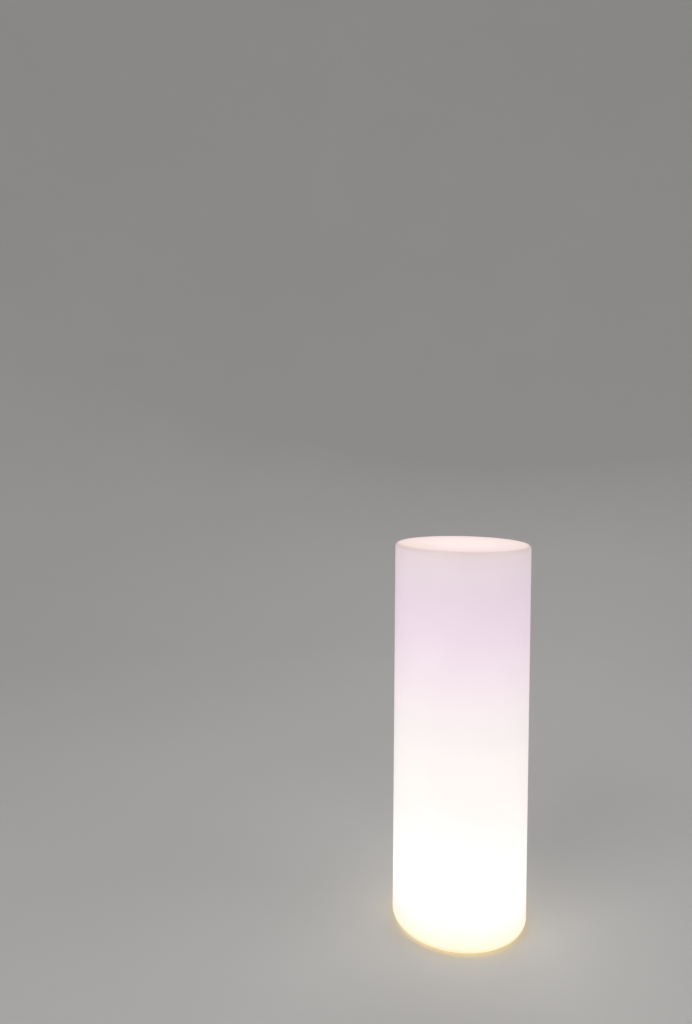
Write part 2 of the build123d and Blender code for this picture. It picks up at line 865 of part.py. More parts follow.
with BuildPart() as cradle:
    with BuildSketch(Plane.XY.offset(deck_z)):
        RectangleRounded(2 * cradle_wall_x + cradle_wall, cradle_width, cradle_corner)
        for x, y in cradle_spots:
            with Locations((x, y)):
                Circle(cradle_ear_radius)
            with Locations((x - cradle_ear_radius * (1 if x > 0 else -1), y)):
                Rectangle(2 * cradle_ear_radius, 2 * cradle_ear_radius)
        with Locations(*battery_clamp_spots):
            Circle(battery_clamp_radius)
        with Locations(*cradle_spots):
            Circle(m3_hole, mode=Mode.SUBTRACT)
    extrude(amount=cradle_plate)
    with BuildSketch(Plane.XY.offset(deck_z + cradle_plate)):
        with Locations((-cradle_wall_x, 0), (cradle_wall_x, 0)):
            Rectangle(cradle_wall, cradle_wall_length)
        with Locations(*battery_clamp_spots):
            Circle(battery_clamp_radius)
    extrude(amount=cradle_wall_height)
    with BuildSketch(Plane.XY.offset(battery_clamp_z)):
        with Locations(*battery_clamp_spots):
            Circle(m3_pilot)
    extrude(amount=-8, mode=Mode.SUBTRACT)
cradle.part.label = "battery_cradle"
export_step(cradle.part, "parts/battery_cradle.step")

cradle_screws = screws(cradle_spots, deck_z + cradle_plate, m3_screw, 9)
cradle_screws.part.label = "cradle_screws"
export_step(cradle_screws.part, "parts/cradle_screws.step")

cell_end_plane = Plane(origin=(0, cell_length / 2, cell_z), x_dir=(1, 0, 0), z_dir=(0, -1, 0))
with BuildPart() as cells:
    with BuildSketch(cell_end_plane):
        with GridLocations(cell_pitch, 0, cell_count, 1):
            Circle(cell_radius)
    extrude(amount=cell_length)
    chamfer(cells.edges().filter_by(GeomType.CIRCLE), cell_chamfer)
cells.part.label = "battery_cells"
export_step(cells.part, "parts/battery_cells.step")

# three pairs of cells in series: a short and a long strip at each end, staggered
short_strip = 1.6 * cell_pitch
long_strip = 3.6 * cell_pitch
with BuildPart() as strips:
    for end_plane, side, outward in (
        (cell_end_plane, -1, -1),
        (cell_end_plane.offset(cell_length), 1, 1),
    ):
        with BuildSketch(end_plane):
            with Locations((side * 2 * cell_pitch, 0)):
                Rectangle(short_strip, strip_width)
            with Locations((-side * cell_pitch, 0)):
                Rectangle(long_strip, strip_width)
        extrude(amount=outward * strip_thickness)
strips.part.label = "nickel_strips"
export_step(strips.part, "parts/nickel_strips.step")

with BuildPart() as battery_clamp:
    with BuildSketch(Plane.XY.offset(battery_clamp_z)):
        RectangleRounded(
            2 * (battery_clamp_x + battery_clamp_radius), battery_clamp_width, battery_clamp_radius,
        )
        with Locations(*battery_clamp_spots):
            Circle(m3_hole, mode=Mode.SUBTRACT)
    extrude(amount=battery_clamp_thickness)
battery_clamp.part.label = "battery_clamp"
export_step(battery_clamp.part, "parts/battery_clamp.step")

clamp_screws = screws(battery_clamp_spots, battery_clamp_z + battery_clamp_thickness, m3_screw, 9)
clamp_screws.part.label = "clamp_screws"
export_step(clamp_screws.part, "parts/clamp_screws.step")

# a board with three transistors in a row
with BuildPart() as protection_board:
    with BuildSketch(Plane.XY.offset(control_z)):
        with Locations((protection_x, protection_y)):
            RectangleRounded(protection_length, protection_width, board_corner)
        with Locations(*protection_spots):
            Circle(m25_hole, mode=Mode.SUBTRACT)
    extrude(amount=board_thickness)
    with BuildSketch(Plane.XY.offset(control_top_z)):
        with Locations((protection_x, protection_y)):
            with GridLocations(7.5, 0, 3, 1):
                Rectangle(5, 6)
    extrude(amount=1.5)
protection_board.part.label = "protection_board"
export_step(protection_board.part, "parts/protection_board.step")

protection_screws = screws(protection_spots, control_top_z, m25_screw, 8)
protection_screws.part.label = "protection_board_screws"
export_step(protection_screws.part, "parts/protection_board_screws.step")

# ---- Charging socket: a threaded barrel with a centre pin, held by a nut ----

jack_top_z = jack_seat_z + jack_length
with BuildPart() as dc_jack:
    with BuildSketch(Plane.XY.offset(jack_seat_z)):
        with Locations(jack_spot):
            Circle(jack_flange_radius)
    extrude(amount=-jack_flange_thickness)
    with BuildSketch(Plane.XY.offset(jack_seat_z)):
        with Locations(jack_spot):
            Circle(jack_radius)
    extrude(amount=jack_length)
    with BuildSketch(Plane.XY.offset(jack_seat_z - jack_flange_thickness)):
        with Locations(jack_spot):
            ring(jack_pin, jack_bore)
    extrude(amount=jack_depth, mode=Mode.SUBTRACT)
    with BuildSketch(Plane.XY.offset(jack_top_z)):
        with Locations(jack_spot):
            with GridLocations(2 * jack_lug_x, 0, 2, 1):
                Rectangle(0.8, 2.4)
    extrude(amount=jack_lug_height)
dc_jack.part.label = "dc_jack"
export_step(dc_jack.part, "parts/dc_jack.step")

with BuildPart() as jack_nut:
    with BuildSketch(Plane.XY.offset(jack_seat_z + jack_pad_thickness)):
        with Locations(jack_spot):
            RegularPolygon(jack_nut_radius, 6)
            Circle(jack_radius + fit_gap / 2, mode=Mode.SUBTRACT)
    extrude(amount=jack_nut_thickness)
jack_nut.part.label = "jack_nut"
export_step(jack_nut.part, "parts/jack_nut.step")

# ---- Charging door: a flap with a knuckle on its pin and a plug that fills the well ----

with BuildPart() as door:
    with BuildSketch(Plane.XY.offset(unit_z)):
        with Locations((jack_spot[0], hinge_y - door_length / 2)):
            Rectangle(door_width, door_length)
    extrude(amount=door_thickness)
    fillet(door.edges().filter_by(Axis.Z).sort_by(Axis.Y)[:2], door_corner)
    with BuildSketch(hinge_plane.offset(door_gap)):
        Circle(knuckle_radius)
    extrude(amount=door_width)
    with BuildSketch(Plane.XY.offset(unit_z + door_thickness)):
        with Locations(jack_spot):
            Circle(plug_radius)
    extrude(amount=plug_height)
    chamfer(door.faces().sort_by(Axis.Z)[-1].edges(), plug_chamfer)
    with BuildSketch(hinge_plane):
        Circle(hinge_pin_radius + hinge_pin_gap)
    extrude(amount=door_recess_width, mode=Mode.SUBTRACT)
door.part.label = "charge_door"
export_step(door.part, "parts/charge_door.step")

with BuildPart() as door_pin:
    with BuildSketch(hinge_plane.offset(2 * fit_gap - hinge_pin_overhang)):
        Circle(hinge_pin_radius)
    extrude(amount=door_recess_width + 2 * hinge_pin_overhang - 4 * fit_gap)
door_pin.part.label = "door_pin"
export_step(door_pin.part, "parts/door_pin.step")

# ---- LED head ----

with BuildPart() as heat_plate_seal:
    with BuildSketch(Plane.XY.offset(cup_top_z)):
        ring(cup_inner_radius + 2 * fit_gap, cup_radius - 2 * fit_gap)
    extrude(amount=seal_thickness)
heat_plate_seal.part.label = "heat_plate_seal"
export_step(heat_plate_seal.part, "parts/heat_plate_seal.step")

with BuildPart() as heat_plate:
    with BuildSketch(Plane.XY.offset(heat_plate_z)):
        ring(cable_hole_radius, cup_radius)
        with Locations(*head_spots):
            Circle(m3_hole, mode=Mode.SUBTRACT)
        with Locations(*led_screw_spots):
            Circle(m3_pilot, mode=Mode.SUBTRACT)
    extrude(amount=heat_plate_thickness)
heat_plate.part.label = "heat_plate"
export_step(heat_plate.part, "parts/heat_plate.step")

with BuildPart() as led_board:
    with BuildSketch(Plane.XY.offset(led_board_z)):
        ring(cable_hole_radius + 1.5, led_board_radius)
        with Locations(*led_screw_spots):
            Circle(m3_hole, mode=Mode.SUBTRACT)
    extrude(amount=board_thickness)
led_board.part.label = "led_board"
export_step(led_board.part, "parts/led_board.step")

led_board_screw_length = heat_plate_thickness + board_thickness - 2 * fit_gap
led_board_screws = screws(led_screw_spots, led_z, m3_screw, led_board_screw_length)
led_board_screws.part.label = "led_board_screws"
export_step(led_board_screws.part, "parts/led_board_screws.step")

with BuildPart() as led_packages:
    with BuildSketch(Plane.XY.offset(led_z)):
        for circle_radius, count in led_rings:
            with PolarLocations(circle_radius, count):
                Rectangle(led_size, led_size)
    extrude(amount=led_height)
    with BuildSketch(Plane.XY.offset(led_z + led_height)):
        for circle_radius, count in led_rings:
            with PolarLocations(circle_radius, count):
                Circle(led_window_radius)
    extrude(amount=-led_window_depth, mode=Mode.SUBTRACT)
led_packages.part.label = "led_packages"
export_step(led_packages.part, "parts/led_packages.step")

with BuildPart() as led_windows:
    with BuildSketch(Plane.XY.offset(led_z + led_height - led_window_depth)):
        for circle_radius, count in led_rings:
            with PolarLocations(circle_radius, count):
                Circle(led_window_radius - 0.02)
    extrude(amount=led_window_depth)
led_windows.part.label = "led_windows"
export_step(led_windows.part, "parts/led_windows.step")

with BuildPart() as dome_seal:
    with BuildSketch(Plane.XY.offset(led_board_z)):
        ring(clamp_ring_inner_radius, dome_flange_radius)
        with Locations(*head_spots):
            Circle(m3_hole, mode=Mode.SUBTRACT)
    extrude(amount=seal_thickness)
dome_seal.part.label = "dome_seal"
export_step(dome_seal.part, "parts/dome_seal.step")

with BuildPart() as dome:
    with BuildSketch(Plane.XZ):
        with BuildLine():
            FilletPolyline(
                (0, dome_top_z),
                (dome_radius, dome_top_z),
                (dome_radius, clamp_ring_z),
                (dome_flange_radius, clamp_ring_z),
                (dome_flange_radius, dome_flange_z),
                (dome_radius - dome_wall, dome_flange_z),
                (dome_radius - dome_wall, dome_top_z - dome_wall),
                (0, dome_top_z - dome_wall),
                radius=[dome_round, 0, 0, 0, 0, dome_round - dome_wall],
            )
            Line((0, dome_top_z - dome_wall), (0, dome_top_z))
        make_face()
    revolve(axis=Axis.Z)
    with BuildSketch(Plane.XY.offset(dome_flange_z)):
        with Locations(*head_spots):
            Circle(m3_hole)
    extrude(amount=dome_wall, mode=Mode.SUBTRACT)
dome.part.label = "light_dome"
export_step(dome.part, "parts/light_dome.step")

with BuildPart() as dome_clamp:
    with BuildSketch(Plane.XY.offset(clamp_ring_z)):
        ring(clamp_ring_inner_radius, clamp_ring_outer_radius)
        with Locations(*head_spots):
            Circle(m3_hole, mode=Mode.SUBTRACT)
    extrude(amount=clamp_ring_thickness)
    fillet(dome_clamp.faces().sort_by(Axis.Z)[-1].outer_wire().edges(), 1)
dome_clamp.part.label = "dome_clamp_ring"
export_step(dome_clamp.part, "parts/dome_clamp_ring.step")

head_screws = screws(head_spots, head_top_z, m3_screw, 20)
head_screws.part.label = "head_screws"
export_step(head_screws.part, "parts/head_screws.step")

# grommet in the heat plate's centre hole
with BuildPart() as grommet:
    with BuildSketch(Plane.XY.offset(heat_plate_z)):
        ring(cable_radius + fit_gap / 2, cable_hole_radius - fit_gap / 2)
    extrude(amount=heat_plate_thickness)
    with BuildSketch(Plane.XY.offset(led_board_z)):
        ring(cable_radius + fit_gap / 2, cable_hole_radius + 1)
    extrude(amount=1)
grommet.part.label = "cable_grommet"
export_step(grommet.part, "parts/cable_grommet.step")

# ---- Leads inside the unit: each starts and ends on what it joins ----

socket_z = control_top_z + connector_height - connector_depth
supply_socket, cable_socket = connector_spots[:2]
lead_routes = {
    # last cell to the protection board
    "battery_lead": [
        (2 * cell_pitch, -cell_length / 2 - strip_thickness, cell_z),
        (2 * cell_pitch, -40, cell_z),
        (0, -42, lead_z + 3),
        (-18, -54, lead_z + 3),
        (-18, -54, control_top_z),
    ],
    # charging socket to the protection board
    "charge_lead": [
        (*jack_spot, jack_seat_z + jack_length),
        (*jack_spot, 48),
        (0, -66, 48),
        (-24, -66, 44),
        (-24, -66, control_top_z),
    ],
    # protection board round the battery to the control board
    "supply_lead": [
        (-46, -58, control_top_z),
        (-46, -58, lead_z + 5),
        (lead_side_x, -20, lead_z + 5),
        (lead_side_x, 20, lead_z + 5),
        (-50, 66, lead_z + 7),
        (*supply_socket, lead_z + 7),
        (*supply_socket, socket_z),
    ],
}
for name, points in lead_routes.items():
    made_lead = lead(lead_radius, lead_bend, points)
    made_lead.part.label = name
    export_step(made_lead.part, f"parts/{name}.step")

# control board up through the grommet to the LED board
led_cable_route = [
    (*cable_socket, socket_z),
    (*cable_socket, 50),
    (3, 44, cable_z),
    (0, 20, cable_z),
    (0, 0, cable_z),
    (0, 0, led_z + 1),
]
led_cable = lead(cable_radius, cable_bend, led_cable_route)
led_cable.part.label = "led_cable"
export_step(led_cable.part, "parts/led_cable.step")
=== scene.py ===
from math import cos, pi, radians, sin

import bmesh
import bpy
from mathutils import Matrix, Vector


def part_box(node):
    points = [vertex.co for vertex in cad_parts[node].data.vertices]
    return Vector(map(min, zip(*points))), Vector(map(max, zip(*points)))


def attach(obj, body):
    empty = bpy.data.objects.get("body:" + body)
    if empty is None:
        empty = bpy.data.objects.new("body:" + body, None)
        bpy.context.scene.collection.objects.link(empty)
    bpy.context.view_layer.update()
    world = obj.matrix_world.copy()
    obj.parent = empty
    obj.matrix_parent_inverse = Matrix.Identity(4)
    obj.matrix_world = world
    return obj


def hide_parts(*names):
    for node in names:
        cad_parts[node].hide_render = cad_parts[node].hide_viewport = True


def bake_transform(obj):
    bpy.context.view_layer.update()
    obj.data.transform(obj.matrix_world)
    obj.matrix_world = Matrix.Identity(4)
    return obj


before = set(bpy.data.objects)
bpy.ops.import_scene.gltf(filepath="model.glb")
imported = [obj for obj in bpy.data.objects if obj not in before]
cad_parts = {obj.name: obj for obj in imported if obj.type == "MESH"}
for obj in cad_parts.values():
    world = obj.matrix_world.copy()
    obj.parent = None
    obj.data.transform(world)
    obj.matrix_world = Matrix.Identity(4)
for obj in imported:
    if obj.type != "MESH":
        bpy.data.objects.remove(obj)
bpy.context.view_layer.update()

# The lamp stands at the origin of a round, pale studio. Metres, +Z up.
shell_low, shell_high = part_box("diffuser_shell")
lamp_radius = shell_high.x
lamp_top = shell_high.z
shell_base = shell_low.z

# Shell: its walls and rounds
wall = 0.004
top_round = 0.010
bottom_round = 0.015
recess_round = 0.003
recess_radius = 0.122
opening_radius = 0.098
recess_ceiling = 0.030
shell_segments = 256

# LED board: the circles its LEDs stand on, and the copper ring under each
led_circles = (0.054, 0.030)
led_track = 0.007
led_track_edge = 0.0002

# Springs under the buttons
spring_wire_radius = 0.00035
spring_pitch = 0.0011
spring_steps = 40
spring_sides = 10

# Glow of the shell: height above the floor as a part of the lamp's height, and the light that leaves the
# wall there, in linear red, green and blue. The rise and fall of the LED unit's light up the wall is the
# lamp's own. The lavender of the upper stops is painted purple light from outside. The darker, yellower
# lowest stops are painted shade with a yellow cast beside the floor.
wall_glow_with_painted_light = (
    (0.000, (0.76, 0.59, 0.28)),
    (0.012, (0.72, 0.57, 0.325)),
    (0.022, (0.77, 0.67, 0.46)),
    (0.050, (0.76, 0.67, 0.59)),
    (0.080, (0.81, 0.76, 0.71)),
    (0.160, (0.86, 0.83, 0.78)),
    (0.300, (0.765, 0.702, 0.676)),
    (0.500, (0.660, 0.608, 0.603)),
    (0.640, (0.625, 0.520, 0.571)),
    (0.760, (0.552, 0.424, 0.520)),
    (0.870, (0.493, 0.367, 0.466)),
    (0.980, (0.461, 0.350, 0.400)),
    (1.000, (0.410, 0.300, 0.330)),
)
# The ramps hold the glow's colours divided by this, and the emission strength multiplies it back
glow_peak = 0.9
# The closed top: its middle faces the LEDs, and its rounded rim is the darkest part
top_glow = (
    (0.00, (0.672, 0.496, 0.418)),
    (0.50, (0.630, 0.458, 0.432)),
    (0.88, (0.562, 0.378, 0.330)),
    (0.95, (0.480, 0.312, 0.295)),
    (1.00, (0.360, 0.235, 0.222)),
)

# Camera: where the photographer stood, and how the camera was held
camera_place = (-0.3071, -1.984, 1.2375)
camera_pitch = radians(2.443)
camera_roll = radians(0.277)
camera_lens = 26.66
camera_shift_up = -0.027

# Studio
studio_radius = 6.0
studio_curve = 3.0
studio_height = 6.0
studio_segments = 96
studio_colour = (0.73, 0.72, 0.70)
air_colour = (0.96, 0.97, 1.0)
air_strength = 0.36

# Soft lights, all of one size: where each stands, and its watts
softbox_size = 2.4
softboxes = {
    "key_light": ((-2.4, -2.6, 3.6), 38.0),
    "fill_light": ((3.2, -1.0, 2.6), 16.0),
    "back_light": ((0.8, 3.4, 3.4), 19.0),
}


def add_node(tree, kind, settings=(), **inputs):
    """A new node with its settings, and each input given a value or linked to a socket."""
    made = tree.nodes.new(kind)
    for key, value in dict(settings).items():
        setattr(made, key, value)
    for key, value in inputs.items():
        connect(tree, made.inputs[key.replace("_", " ")], value)
    return made


def connect(tree, socket, value):
    """Give a socket a value, or link it."""
    if isinstance(value, bpy.types.NodeSocket):
        tree.links.new(value, socket)
    elif isinstance(value, tuple) and len(value) == 3 and socket.type == "RGBA":
        socket.default_value = (*value, 1)
    else:
        socket.default_value = value


def calculate(tree, operation, first, second=0.0):
    """The result of a Math node."""
    made = tree.nodes.new("ShaderNodeMath")
    made.operation = operation
    connect(tree, made.inputs[0], first)
    connect(tree, made.inputs[1], second)
    return made.outputs[0]


def ramp(tree, factor, stops):
    """A colour ramp's output."""
    made = add_node(tree, "ShaderNodeValToRGB", Fac=factor)
    made.color_ramp.interpolation = "CARDINAL"
    elements = made.color_ramp.elements
    while len(elements) < len(stops):
        elements.new(0.5)
    for element, (place, colour) in zip(elements, stops):
        element.position = place
        element.color = (*colour, 1)
    return made.outputs["Color"]


def from_axis(tree, place):
    """The distance from the lamp's axis."""
    parts = add_node(tree, "ShaderNodeSeparateXYZ", Vector=place)
    across = calculate(tree, "MULTIPLY", parts.outputs["X"], parts.outputs["X"])
    along = calculate(tree, "MULTIPLY", parts.outputs["Y"], parts.outputs["Y"])
    return calculate(tree, "SQRT", calculate(tree, "ADD", across, along))


def grey_ramp(tree, factor, low, high, low_value=0.0, high_value=1.0):
    """A number that goes from low_value to high_value as the factor goes from low to high."""
    inputs = {"Value": factor, "From_Min": low, "From_Max": high, "To_Min": low_value, "To_Max": high_value}
    return add_node(tree, "ShaderNodeMapRange", **inputs).outputs["Result"]


def mix(tree, factor, first, second, blend="MIX"):
    """A mix of two colours."""
    made = tree.nodes.new("ShaderNodeMix")
    made.data_type = "RGBA"
    made.blend_type = blend
    connect(tree, made.inputs[0], factor)
    connect(tree, made.inputs[6], first)
    connect(tree, made.inputs[7], second)
    return made.outputs[2]


def noise(tree, place, scale, detail=4.0, roughness=0.55):
    """A noise texture's value."""
    made = add_node(
        tree, "ShaderNodeTexNoise", Vector=place, Scale=scale, Detail=detail, Roughness=roughness,
    )
    return made.outputs["Fac"]


def stretched(tree, place, scale):
    """The place with each axis scaled, for a grain that runs one way."""
    made = add_node(tree, "ShaderNodeMapping", Vector=place, Scale=scale)
    return made.outputs["Vector"]


def bump(tree, height, distance, under=None):
    """A bumped normal; distance is in metres."""
    made = add_node(tree, "ShaderNodeBump", Height=height, Distance=distance, Strength=1.0)
    if under is not None:
        tree.links.new(under, made.inputs["Normal"])
    return made.outputs["Normal"]


def start(name):
    """A material's tree, its shader and the place on the object, in the row frame."""
    material = bpy.data.materials.new(name)
    material.use_nodes = True
    tree = material.node_tree
    tree.nodes.clear()
    shader = tree.nodes.new("ShaderNodeBsdfPrincipled")
    output = tree.nodes.new("ShaderNodeOutputMaterial")
    tree.links.new(shader.outputs["BSDF"], output.inputs["Surface"])
    place = tree.nodes.new("ShaderNodeTexCoord").outputs["Object"]
    return material, tree, shader, place


def finish_with(tree, shader, **inputs):
    """Set or link the shader's inputs."""
    for key, value in inputs.items():
        connect(tree, shader.inputs[key.replace("_", " ")], value)


def shades(colour, spread):
    """A darker and a lighter shade of a colour."""
    darker = tuple(part * (1 - spread) for part in colour)
    lighter = tuple(min(1.0, part * (1 + spread)) for part in colour)
    return darker, lighter


# ---- Materials ----


def under_peak(stops):
    """Glow stops divided by the glow's peak."""
    return [(at, tuple(part / glow_peak for part in colour)) for at, colour in stops]


def lit_polyethylene():
    """The shell: satin translucent polyethylene with the LED unit's light coming through it. Its wall's
    glow also holds painted purple light high up and painted shade at its foot.
    """
    material, tree, shader, place = start("lit_polyethylene")
    parts = add_node(tree, "ShaderNodeSeparateXYZ", Vector=place)
    height = calculate(tree, "DIVIDE", parts.outputs["Z"], lamp_top)
    across = calculate(tree, "DIVIDE", from_axis(tree, place), lamp_radius)

    # the wall's stops: the lamp's own glow, with painted purple light up high and painted shade at the foot
    side = ramp(tree, height, under_peak(wall_glow_with_painted_light))
    top = ramp(tree, across, under_peak(top_glow))
    on_top = grey_ramp(tree, parts.outputs["Z"], lamp_top - top_round, lamp_top - top_round * 0.3)
    glow = mix(tree, on_top, side, top)
    # the wall is a little thicker in some places than in others, and the resin is cloudy
    clouds = noise(tree, place, 7.0, 3.0)
    cloudy = grey_ramp(tree, clouds, 0.3, 0.7, 0.975, 1.0)
    flecks = noise(tree, place, 420.0, 2.0)
    flecked = grey_ramp(tree, flecks, 0.35, 0.65, 0.99, 1.0)
    dimming = calculate(tree, "MULTIPLY", cloudy, flecked)
    dim_colour = add_node(tree, "ShaderNodeCombineColor", Red=dimming, Green=dimming, Blue=dimming)
    glow = mix(tree, 1.0, glow, dim_colour.outputs["Color"], "MULTIPLY")

    darker, lighter = shades((0.80, 0.78, 0.76), 0.02)
    base = mix(tree, grey_ramp(tree, clouds, 0.3, 0.7), darker, lighter)
    # sand-blasted mould: a fine tooth over the slow waviness of a rotomoulded wall
    waves = bump(tree, noise(tree, place, 22.0, 2.0), 0.0006)
    tooth = bump(tree, noise(tree, place, 1400.0, 3.0), 0.00003, under=waves)
    finish_with(
        tree, shader, Base_Color=base, Roughness=grey_ramp(tree, flecks, 0.3, 0.7, 0.42, 0.50),
        Normal=tooth, Emission_Color=glow, Emission_Strength=glow_peak,
    )
    # the skin reflects more, and lets less light out, where it is seen edge on
    shader.inputs["Coat Weight"].default_value = 0.5
    shader.inputs["Coat Roughness"].default_value = 0.38
    return material


def moulded(name, colour, roughness, tooth=0.00003, tooth_scale=1800.0, spread=0.06):
    """Moulded plastic: slow variation of colour, and a fine spark-eroded tooth."""
    material, tree, shader, place = start(name)
    patches = noise(tree, place, 45.0, 5.0)
    base = mix(tree, grey_ramp(tree, patches, 0.3, 0.7), *shades(colour, spread))
    grain = noise(tree, place, tooth_scale, 3.0, 0.7)
    rough = grey_ramp(tree, noise(tree, place, 140.0), 0.3, 0.7, roughness - 0.05, roughness + 0.06)
    finish_with(tree, shader, Base_Color=base, Roughness=rough, Normal=bump(tree, grain, tooth))
    return material


def rubber(name, colour, roughness=0.78):
    """Rubber: matt, with a pale bloom in patches and a grain that is felt more than seen."""
    material, tree, shader, place = start(name)
    bloom = grey_ramp(tree, noise(tree, place, 90.0, 6.0, 0.65), 0.52, 0.75, 0.0, 0.35)
    pale = tuple(0.75 * part + 0.05 for part in colour)
    base = mix(tree, bloom, colour, pale)
    grain = noise(tree, place, 2600.0, 2.0, 0.8)
    rough = grey_ramp(tree, bloom, 0.0, 0.35, roughness, roughness + 0.12)
    finish_with(tree, shader, Base_Color=base, Roughness=rough, Normal=bump(tree, grain, 0.00004))
    shader.inputs["Specular IOR Level"].default_value = 0.35
    return material


def metal(name, colour, roughness=0.32, tarnish=(0.55, 0.52, 0.45), grain=(900.0, 900.0, 60.0)):
    """Plated or drawn metal: a fine grain one way, and light tarnish."""
    material, tree, shader, place = start(name)
    stain = grey_ramp(tree, noise(tree, place, 160.0, 6.0, 0.6), 0.5, 0.8, 0.0, 0.45)
    base = mix(tree, stain, colour, tarnish)
    lines = noise(tree, stretched(tree, place, grain), 1.0, 4.0, 0.7)
    rough = grey_ramp(tree, lines, 0.3, 0.7, roughness - 0.08, roughness + 0.10)
    finish_with(tree, shader, Base_Color=base, Roughness=rough, Normal=bump(tree, lines, 0.00001))
    shader.inputs["Metallic"].default_value = 1.0
    return material


def turned_metal(name, colour, ring_scale=31.25):
    """A turned disc: shallow rings about the lamp's axis."""
    material, tree, shader, place = start(name)
    rings = add_node(
        tree, "ShaderNodeTexWave",
        {"wave_type": "RINGS", "rings_direction": "Z", "wave_profile": "SAW"},
        Vector=place, Scale=ring_scale, Distortion=0.6, Detail=3.0,
    ).outputs["Fac"]
    patches = grey_ramp(tree, noise(tree, place, 30.0, 5.0), 0.35, 0.7)
    base = mix(tree, patches, *shades(colour, 0.07))
    rough = grey_ramp(tree, rings, 0.0, 1.0, 0.34, 0.42)
    finish_with(tree, shader, Base_Color=base, Roughness=rough, Normal=bump(tree, rings, 0.000006))
    shader.inputs["Metallic"].default_value = 1.0
    return material


def circuit_board(name, mask, copper_under_mask, cell=0.004):
    """A printed circuit board: solder mask over tracks, with bare pads here and there."""
    material, tree, shader, place = start(name)
    tracks = add_node(
        tree, "ShaderNodeTexBrick", {"offset": 0.37, "squash": 0.6},
        Vector=place, Scale=1.0, Mortar_Size=0.00022, Mortar_Smooth=0.1,
        Brick_Width=cell, Row_Height=cell * 0.45,
        Color1=(0, 0, 0), Color2=(0, 0, 0), Mortar=(1, 1, 1),
    )
    track = tracks.outputs["Fac"]
    field = grey_ramp(tree, noise(tree, place, 160.0, 1.0), 0.50, 0.52)
    copper = calculate(tree, "MULTIPLY", track, field)
    under = mix(tree, copper, mask, copper_under_mask)
    dots = add_node(
        tree, "ShaderNodeTexVoronoi", {"feature": "F1"}, Vector=place, Scale=330.0, Randomness=0.35,
    ).outputs["Distance"]
    spots = grey_ramp(tree, dots, 0.20, 0.16)
    pad = calculate(tree, "MULTIPLY", spots, calculate(tree, "SUBTRACT", 1.0, field))
    base = mix(tree, pad, under, (0.72, 0.70, 0.64))
    relief = bump(tree, calculate(tree, "MAXIMUM", copper, pad), 0.00004)
    finish_with(tree, shader, Base_Color=base, Metallic=pad, Normal=relief)
    shader.inputs["Roughness"].default_value = 0.30
    return material


def led_board_white():
    """The LED board: white mask over the copper ring that joins each circle of LEDs."""
    material, tree, shader, place = start("white_led_board")
    distance = from_axis(tree, place)
    track = 0.0
    for circle in led_circles:
        away = calculate(tree, "ABSOLUTE", calculate(tree, "SUBTRACT", distance, circle))
        band = grey_ramp(tree, away, led_track / 2, led_track / 2 + led_track_edge, 1.0, 0.0)
        track = calculate(tree, "MAXIMUM", band, track)
    base = mix(tree, track, (0.84, 0.85, 0.84), (0.74, 0.76, 0.73))
    mottle = noise(tree, place, 240.0, 3.0)
    rough = grey_ramp(tree, mottle, 0.3, 0.7, 0.34, 0.42)
    finish_with(tree, shader, Base_Color=base, Roughness=rough, Normal=bump(tree, track, 0.00004))
    return material


def phosphor():
    """An LED's window: yellow grains in silicone, lit."""
    material, tree, shader, place = start("lit_phosphor")
    grains = grey_ramp(tree, noise(tree, place, 3500.0, 3.0), 0.3, 0.7)
    base = mix(tree, grains, (0.85, 0.60, 0.12), (0.98, 0.82, 0.35))
    light = mix(tree, grains, (1.0, 0.66, 0.20), (1.0, 0.80, 0.38))
    finish_with(tree, shader, Base_Color=base, Emission_Color=light, Normal=bump(tree, grains, 0.00002))
    shader.inputs["Emission Strength"].default_value = 1.1
    shader.inputs["Roughness"].default_value = 0.25
    return material


def opal_dome():
    """The dome over the LEDs: opal polycarbonate, brightest at its top."""
    material, tree, shader, place = start("lit_opal_dome")
    dome_low, dome_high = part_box("light_dome")
    parts = add_node(tree, "ShaderNodeSeparateXYZ", Vector=place)
    lift = grey_ramp(tree, parts.outputs["Z"], dome_low.z, dome_high.z)
    light = ramp(tree, lift, [
        (0.0, (0.35, 0.31, 0.26)),
        (0.3, (0.75, 0.69, 0.60)),
        (1.0, (1.0, 0.95, 0.86)),
    ])
    haze = grey_ramp(tree, noise(tree, place, 60.0, 3.0), 0.3, 0.7)
    base = mix(tree, haze, (0.90, 0.89, 0.86), (0.95, 0.94, 0.92))
    ripple = bump(tree, noise(tree, place, 120.0, 2.0), 0.00008)
    finish_with(tree, shader, Base_Color=base, Emission_Color=light, Normal=ripple)
    shader.inputs["Emission Strength"].default_value = 2.0
    shader.inputs["Roughness"].default_value = 0.33
    return material


def cell_sleeve():
    """Battery cells: a blue heat-shrink sleeve, creased near its ends, and bare metal at each end."""
    material, tree, shader, place = start("cell_sleeve")
    cell_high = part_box("battery_cells")[1]
    parts = add_node(tree, "ShaderNodeSeparateXYZ", Vector=place)
    along = calculate(tree, "ABSOLUTE", parts.outputs["Y"])
    end = grey_ramp(tree, along, cell_high.y - 0.0009, cell_high.y - 0.0006)
    creases = noise(tree, stretched(tree, place, (700.0, 40.0, 700.0)), 1.0, 3.0)
    near_end = grey_ramp(tree, along, cell_high.y - 0.008, cell_high.y)
    patches = grey_ramp(tree, noise(tree, place, 60.0), 0.3, 0.7)
    tone = mix(tree, patches, (0.03, 0.20, 0.42), (0.05, 0.26, 0.50))
    base = mix(tree, end, tone, (0.72, 0.72, 0.70))
    relief = bump(tree, calculate(tree, "MULTIPLY", creases, near_end), 0.0001)
    rough = grey_ramp(tree, creases, 0.3, 0.7, 0.28, 0.36)
    finish_with(tree, shader, Base_Color=base, Metallic=end, Roughness=rough, Normal=relief)
    return material


